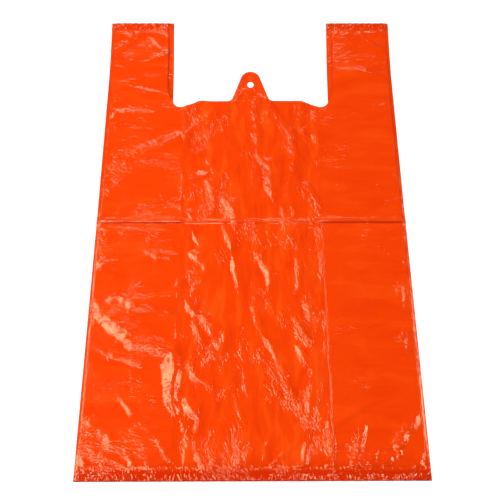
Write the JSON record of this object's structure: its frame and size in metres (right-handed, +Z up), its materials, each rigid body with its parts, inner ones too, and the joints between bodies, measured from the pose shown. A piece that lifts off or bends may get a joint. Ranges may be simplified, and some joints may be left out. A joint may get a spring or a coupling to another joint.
{
  "type": "plastic carrier bag",
  "caption": "Flat vest-shaped film carrier bag with side gussets, welded foot and handle tops, cut handles and a hanging tab.",
  "frame": {"origin": "middle of the bag's underside, on the surface that it lies on", "axes": "+X across the bag, +Y along it towards the handle tops, +Z up out of the front panel"},
  "size_m": [0.3068, 0.5, 0.0038],
  "materials": {
    "orange_film": "thin glossy blown film, orange-red right through"
  },
  "bodies": {
    "root": {"carrier_bag": "orange_film"}
  },
  "joints": []
}
